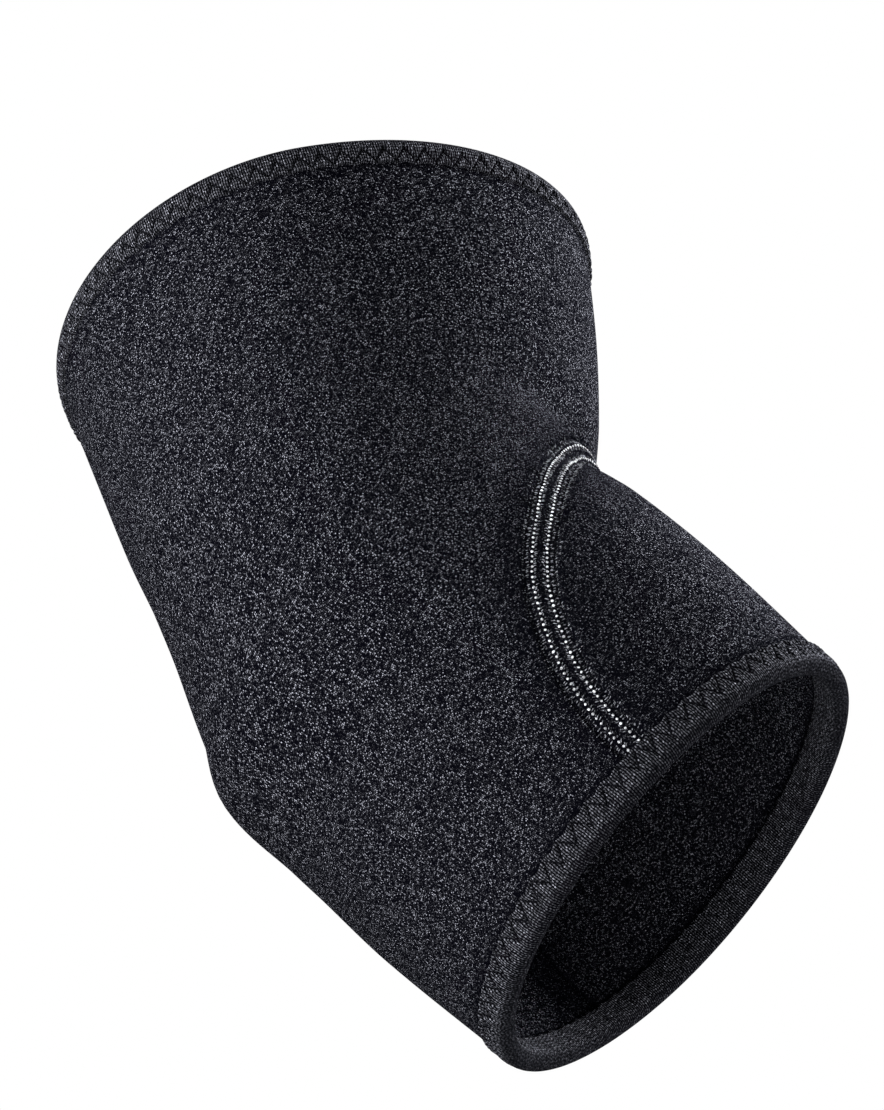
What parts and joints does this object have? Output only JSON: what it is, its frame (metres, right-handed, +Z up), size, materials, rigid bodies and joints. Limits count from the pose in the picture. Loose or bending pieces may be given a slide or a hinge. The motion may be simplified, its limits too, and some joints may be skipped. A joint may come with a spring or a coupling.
{
  "type": "elbow brace",
  "caption": "Pull-on elbow brace: a bent sleeve of cloth-faced foam rubber with an inset forearm panel, a flat stitched seam and taped edges.",
  "frame": {"origin": "inside the elbow, where the centre lines of the upper arm and the forearm cross", "axes": "+Z up the upper arm, +X towards the crook side, XZ the plane in which the arm bends, Y across the arm"},
  "size_m": [0.1312, 0.1088, 0.1781],
  "materials": {
    "sleeve_cloth": "matt knit cloth on foam rubber, black with pale flecks",
    "seam_thread": "flat seam of black thread with two rows of pale stitches",
    "edge_tape": "matt ribbed knit tape, black"
  },
  "bodies": {
    "root": {"main_panel": "sleeve_cloth", "forearm_panel": "sleeve_cloth", "flat_seam": "seam_thread", "upper_binding": "edge_tape", "lower_binding": "edge_tape"}
  },
  "joints": []
}
